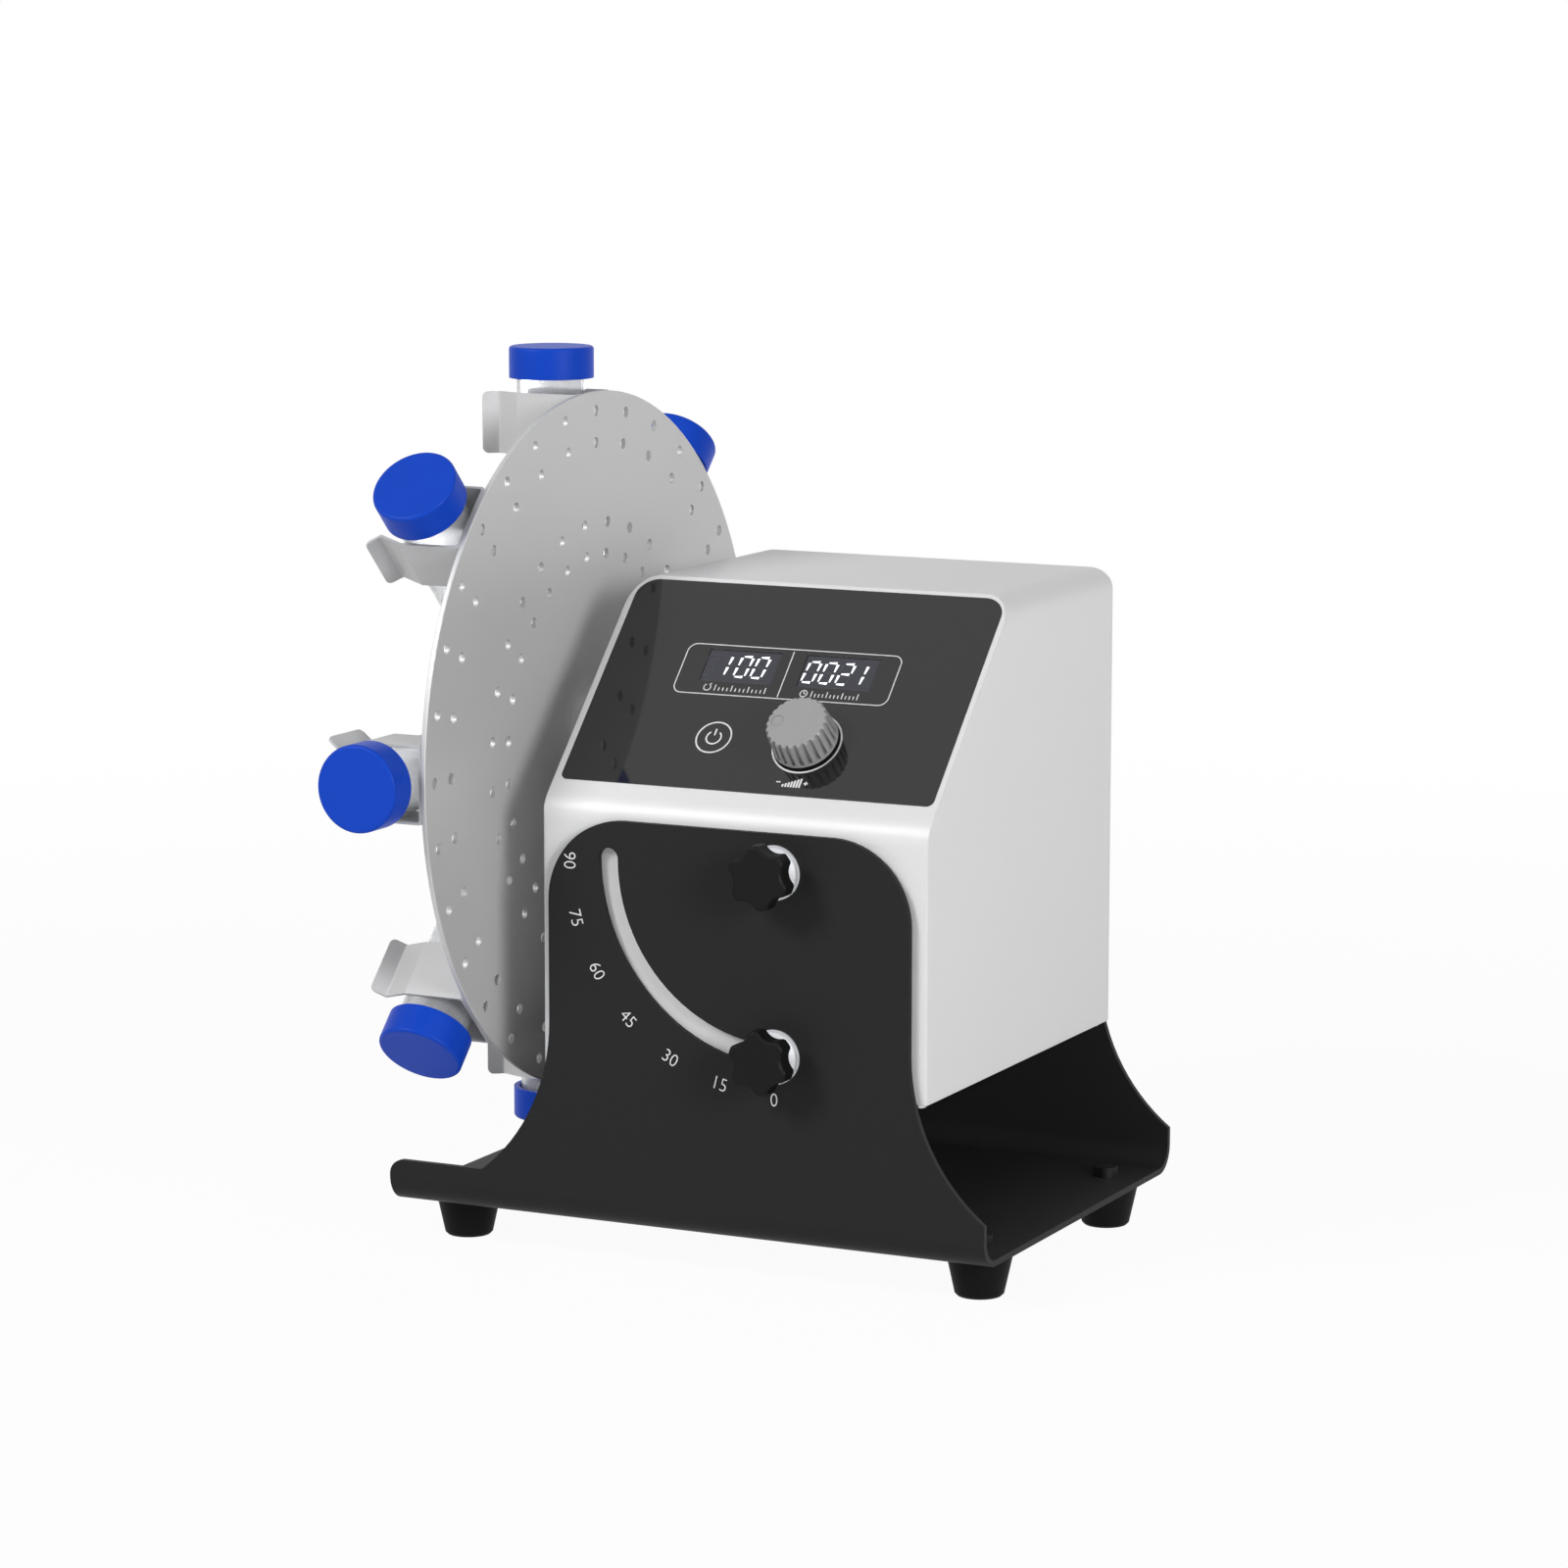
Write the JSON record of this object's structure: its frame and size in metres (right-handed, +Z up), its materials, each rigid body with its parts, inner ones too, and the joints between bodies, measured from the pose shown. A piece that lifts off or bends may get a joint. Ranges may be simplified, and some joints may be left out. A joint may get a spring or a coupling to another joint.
{
  "type": "tube rotator",
  "caption": "Bench rotator: a tilting drive housing between the uprights of a bent sheet stand turns an upright perforated disc that carries capped tubes in spring clips.",
  "frame": {"origin": "on the bench, under the middle of the whole object's bounding box", "axes": "+X from the disc to the housing, +Y from the front upright to the rear one, +Z up"},
  "size_m": [0.26, 0.3192, 0.3556],
  "materials": {
    "black_enamel": "matt black powder coat",
    "white_plastic": "white enamel, fine grain",
    "panel_plastic": "gloss printed sheet",
    "display_plastic": "gloss window",
    "board_laminate": "solder mask",
    "grey_plastic": "satin moulding",
    "black_plastic": "satin moulding",
    "black_rubber": "matt rubber",
    "turned_aluminium": "turned",
    "machined_aluminium": "machined",
    "disc_aluminium": "satin anodised sheet",
    "bright_steel": "bright",
    "black_steel": "black oxide",
    "clip_steel": "brushed spring steel",
    "brass_insert": "turned",
    "clear_plastic": "translucent polypropylene",
    "cap_plastic": "satin moulding"
  },
  "bodies": {
    "stand": {"stand_frame": "black_enamel", "foot_front_left": "black_rubber", "foot_front_right": "black_rubber", "foot_rear_left": "black_rubber", "foot_rear_right": "black_rubber", "foot_screws": "black_steel", "foot_nuts": "black_steel"},
    "housing": {"housing_shell": "white_plastic", "bottom_cover": "white_plastic", "housing_screws": "bright_steel", "control_panel": "panel_plastic", "display_modules": "display_plastic", "control_board": "board_laminate", "encoder_body": "bright_steel", "knob_collars": "turned_aluminium", "thread_inserts": "brass_insert", "rear_pivot_bolt": "bright_steel", "bearing_block": "machined_aluminium", "spindle_bearings": "bright_steel", "drive_screws": "bright_steel", "gear_motor": "bright_steel", "switch_body": "black_plastic", "power_inlet": "black_plastic"},
    "speed_dial": {"speed_knob": "grey_plastic", "encoder_shaft": "bright_steel"},
    "pivot_clamp": {"pivot_knob": "black_plastic", "pivot_stud": "bright_steel"},
    "lock_clamp": {"lock_knob": "black_plastic", "lock_stud": "bright_steel"},
    "rocker": {"power_rocker": "black_plastic"},
    "rotor": {"motor_shaft": "bright_steel", "spindle": "bright_steel", "rotor_hub": "machined_aluminium", "rotor_disc": "disc_aluminium", "hub_screws": "bright_steel", "clip_screws": "bright_steel", "clip_1": "clip_steel", "clip_2": "clip_steel", "clip_3": "clip_steel", "clip_4": "clip_steel", "clip_5": "clip_steel", "clip_6": "clip_steel", "clip_7": "clip_steel", "clip_8": "clip_steel"},
    "tube_body_1": {"tube_1": "clear_plastic"},
    "cap_body_1": {"cap_1": "cap_plastic"},
    "tube_body_2": {"tube_2": "clear_plastic"},
    "cap_body_2": {"cap_2": "cap_plastic"},
    "tube_body_3": {"tube_3": "clear_plastic"},
    "cap_body_3": {"cap_3": "cap_plastic"},
    "tube_body_4": {"tube_4": "clear_plastic"},
    "cap_body_4": {"cap_4": "cap_plastic"},
    "tube_body_5": {"tube_5": "clear_plastic"},
    "cap_body_5": {"cap_5": "cap_plastic"},
    "tube_body_6": {"tube_6": "clear_plastic"},
    "cap_body_6": {"cap_6": "cap_plastic"},
    "tube_body_7": {"tube_7": "clear_plastic"},
    "cap_body_7": {"cap_7": "cap_plastic"},
    "tube_body_8": {"tube_8": "clear_plastic"},
    "cap_body_8": {"cap_8": "cap_plastic"}
  },
  "joints": [
    {"name": "tilt", "type": "hinge", "parent": "stand", "child": "housing", "pos_m": [0.0416, 0, 0.165], "axis": [0, 1, 0], "range_deg": [0, 90]},
    {"name": "rotor_spin", "type": "hinge", "parent": "housing", "child": "rotor", "pos_m": [-0.0609, 0, 0.196], "axis": [-1, 0, 0], "continuous": true},
    {"name": "speed_turn", "type": "hinge", "parent": "housing", "child": "speed_dial", "pos_m": [0.0409, -0.0668, 0.21224], "axis": [0, -0.7136, 0.7005], "continuous": true},
    {"name": "pivot_knob_turn", "type": "hinge", "parent": "housing", "child": "pivot_clamp", "pos_m": [0.0416, -0.1, 0.165], "axis": [0, -1, 0], "range_deg": [0, 360]},
    {"name": "lock_knob_turn", "type": "hinge", "parent": "housing", "child": "lock_clamp", "pos_m": [0.0416, -0.1, 0.093], "axis": [0, -1, 0], "range_deg": [0, 720]},
    {"name": "rocker_tilt", "type": "hinge", "parent": "housing", "child": "rocker", "pos_m": [-0.0034, 0.092, 0.225], "axis": [1, 0, 0], "range_deg": [0, 16]},
    {"name": "tube_1_pull", "type": "slide", "parent": "rotor", "child": "tube_body_1", "axis": [-1, 0, 0], "range_m": [0, 0.045], "deforming": ["clip_1"]},
    {"name": "cap_1_turn", "type": "hinge", "parent": "tube_body_1", "child": "cap_body_1", "pos_m": [-0.1058, 0, 0.34845], "axis": [0, 0, 1], "range_deg": [0, 540]},
    {"name": "tube_2_pull", "type": "slide", "parent": "rotor", "child": "tube_body_2", "axis": [-1, 0, 0], "range_m": [0, 0.045], "deforming": ["clip_2"]},
    {"name": "cap_2_turn", "type": "hinge", "parent": "tube_body_2", "child": "cap_body_2", "pos_m": [-0.1058, -0.1078, 0.3038], "axis": [0, -0.7071, 0.7071], "range_deg": [0, 540]},
    {"name": "tube_3_pull", "type": "slide", "parent": "rotor", "child": "tube_body_3", "axis": [-1, 0, 0], "range_m": [0, 0.045], "deforming": ["clip_3"]},
    {"name": "cap_3_turn", "type": "hinge", "parent": "tube_body_3", "child": "cap_body_3", "pos_m": [-0.1058, -0.15245, 0.196], "axis": [0, -1, 0], "range_deg": [0, 540]},
    {"name": "tube_4_pull", "type": "slide", "parent": "rotor", "child": "tube_body_4", "axis": [-1, 0, 0], "range_m": [0, 0.045], "deforming": ["clip_4"]},
    {"name": "cap_4_turn", "type": "hinge", "parent": "tube_body_4", "child": "cap_body_4", "pos_m": [-0.1058, -0.1078, 0.0882], "axis": [0, -0.7071, -0.7071], "range_deg": [0, 540]},
    {"name": "tube_5_pull", "type": "slide", "parent": "rotor", "child": "tube_body_5", "axis": [-1, 0, 0], "range_m": [0, 0.045], "deforming": ["clip_5"]},
    {"name": "cap_5_turn", "type": "hinge", "parent": "tube_body_5", "child": "cap_body_5", "pos_m": [-0.1058, 0, 0.04355], "axis": [0, 0, -1], "range_deg": [0, 540]},
    {"name": "tube_6_pull", "type": "slide", "parent": "rotor", "child": "tube_body_6", "axis": [-1, 0, 0], "range_m": [0, 0.045], "deforming": ["clip_6"]},
    {"name": "cap_6_turn", "type": "hinge", "parent": "tube_body_6", "child": "cap_body_6", "pos_m": [-0.1058, 0.1078, 0.0882], "axis": [0, 0.7071, -0.7071], "range_deg": [0, 540]},
    {"name": "tube_7_pull", "type": "slide", "parent": "rotor", "child": "tube_body_7", "axis": [-1, 0, 0], "range_m": [0, 0.045], "deforming": ["clip_7"]},
    {"name": "cap_7_turn", "type": "hinge", "parent": "tube_body_7", "child": "cap_body_7", "pos_m": [-0.1058, 0.15245, 0.196], "axis": [0, 1, 0], "range_deg": [0, 540]},
    {"name": "tube_8_pull", "type": "slide", "parent": "rotor", "child": "tube_body_8", "axis": [-1, 0, 0], "range_m": [0, 0.045], "deforming": ["clip_8"]},
    {"name": "cap_8_turn", "type": "hinge", "parent": "tube_body_8", "child": "cap_body_8", "pos_m": [-0.1058, 0.1078, 0.3038], "axis": [0, 0.7071, 0.7071], "range_deg": [0, 540]}
  ]
}
